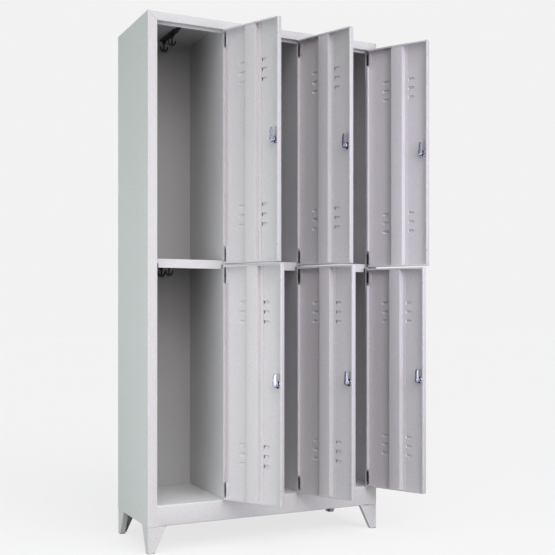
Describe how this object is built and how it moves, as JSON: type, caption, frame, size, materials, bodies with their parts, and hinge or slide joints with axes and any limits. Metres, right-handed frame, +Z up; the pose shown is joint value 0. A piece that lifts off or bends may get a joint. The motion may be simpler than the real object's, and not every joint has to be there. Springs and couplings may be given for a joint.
{
  "type": "steel locker",
  "caption": "Light grey steel cloakroom locker with louvred hinged doors, cam locks, shelves and hook rails, standing on pressed feet.",
  "frame": {"origin": "middle of the front left foot's sole, on the floor", "axes": "+Z up, +Y from the doors to the back, +X to the right as seen from the front"},
  "size_m": [0.9926, 0.5877, 1.83],
  "materials": {
    "paint": "satin powder coat",
    "zinc": "zinc plated",
    "chrome": "polished",
    "plastic": "matt"
  },
  "bodies": {
    "cabinet": {"left_side": "paint", "right_side": "paint", "top_panel": "paint", "base_pan": "paint", "back_panel": "paint", "partition_1": "paint", "partition_2": "paint", "shelf_1": "paint", "shelf_2": "paint", "shelf_3": "paint", "foot_front_left": "paint", "foot_front_right": "paint", "foot_rear_left": "paint", "foot_rear_right": "paint", "hook_rail_upper_1": "plastic", "hook_rail_upper_2": "plastic", "hook_rail_upper_3": "plastic", "hook_rail_lower_1": "plastic", "hook_rail_lower_2": "plastic", "hook_rail_lower_3": "plastic", "hinge_upper_1_top": "zinc", "hinge_upper_1_bottom": "zinc", "hinge_upper_2_top": "zinc", "hinge_upper_2_bottom": "zinc", "hinge_upper_3_top": "zinc", "hinge_upper_3_bottom": "zinc", "hinge_lower_1_top": "zinc", "hinge_lower_1_bottom": "zinc", "hinge_lower_2_top": "zinc", "hinge_lower_2_bottom": "zinc", "hinge_lower_3_top": "zinc", "hinge_lower_3_bottom": "zinc"},
    "upper_door_1": {"door_upper_1": "paint", "stiffener_upper_1": "paint", "lock_body_upper_1": "chrome"},
    "upper_cam_1": {"lock_cam_upper_1": "chrome"},
    "upper_door_2": {"door_upper_2": "paint", "stiffener_upper_2": "paint", "lock_body_upper_2": "chrome"},
    "upper_cam_2": {"lock_cam_upper_2": "chrome"},
    "upper_door_3": {"door_upper_3": "paint", "stiffener_upper_3": "paint", "lock_body_upper_3": "chrome"},
    "upper_cam_3": {"lock_cam_upper_3": "chrome"},
    "lower_door_1": {"door_lower_1": "paint", "stiffener_lower_1": "paint", "lock_body_lower_1": "chrome"},
    "lower_cam_1": {"lock_cam_lower_1": "chrome"},
    "lower_door_2": {"door_lower_2": "paint", "stiffener_lower_2": "paint", "lock_body_lower_2": "chrome"},
    "lower_cam_2": {"lock_cam_lower_2": "chrome"},
    "lower_door_3": {"door_lower_3": "paint", "stiffener_lower_3": "paint", "lock_body_lower_3": "chrome"},
    "lower_cam_3": {"lock_cam_lower_3": "chrome"}
  },
  "joints": [
    {"name": "upper_door_1_hinge", "type": "hinge", "parent": "cabinet", "child": "upper_door_1", "pos_m": [0.26987, -0.0138, 1.39025], "axis": [0, 0, 1], "range_deg": [-115.5, 5]},
    {"name": "upper_cam_1_turn", "type": "hinge", "parent": "upper_door_1", "child": "upper_cam_1", "pos_m": [0.3653, -0.21387, 1.39025], "axis": [0.9026, 0.4305, 0], "range_deg": [0, 90]},
    {"name": "upper_door_2_hinge", "type": "hinge", "parent": "cabinet", "child": "upper_door_2", "pos_m": [0.56053, -0.0138, 1.39025], "axis": [0, 0, 1], "range_deg": [-111, 9.5]},
    {"name": "upper_cam_2_turn", "type": "hinge", "parent": "upper_door_2", "child": "upper_cam_2", "pos_m": [0.63997, -0.22074, 1.39025], "axis": [0.9336, 0.3584, 0], "range_deg": [0, 90]},
    {"name": "upper_door_3_hinge", "type": "hinge", "parent": "cabinet", "child": "upper_door_3", "pos_m": [0.8512, -0.0138, 1.39025], "axis": [0, 0, 1], "range_deg": [-121, 9]},
    {"name": "upper_cam_3_turn", "type": "hinge", "parent": "upper_door_3", "child": "upper_cam_3", "pos_m": [0.96537, -0.20381, 1.39025], "axis": [0.8572, 0.515, 0], "range_deg": [0, 90]},
    {"name": "lower_door_1_hinge", "type": "hinge", "parent": "cabinet", "child": "lower_door_1", "pos_m": [0.26987, -0.0138, 0.56975], "axis": [0, 0, 1], "range_deg": [-119.5, 1]},
    {"name": "lower_cam_1_turn", "type": "hinge", "parent": "lower_door_1", "child": "lower_cam_1", "pos_m": [0.37902, -0.20673, 0.56975], "axis": [0.8704, 0.4924, 0], "range_deg": [0, 90]},
    {"name": "lower_door_2_hinge", "type": "hinge", "parent": "cabinet", "child": "lower_door_2", "pos_m": [0.56053, -0.0138, 0.56975], "axis": [0, 0, 1], "range_deg": [-114, 6.5]},
    {"name": "lower_cam_2_turn", "type": "hinge", "parent": "lower_door_2", "child": "lower_cam_2", "pos_m": [0.65069, -0.2163, 0.56975], "axis": [0.9135, 0.4067, 0], "range_deg": [0, 90]},
    {"name": "lower_door_3_hinge", "type": "hinge", "parent": "cabinet", "child": "lower_door_3", "pos_m": [0.8512, -0.0138, 0.56975], "axis": [0, 0, 1], "range_deg": [-115, 15]},
    {"name": "lower_cam_3_turn", "type": "hinge", "parent": "lower_door_3", "child": "lower_cam_3", "pos_m": [0.94488, -0.2147, 0.56975], "axis": [0.9063, 0.4226, 0], "range_deg": [0, 90]}
  ]
}
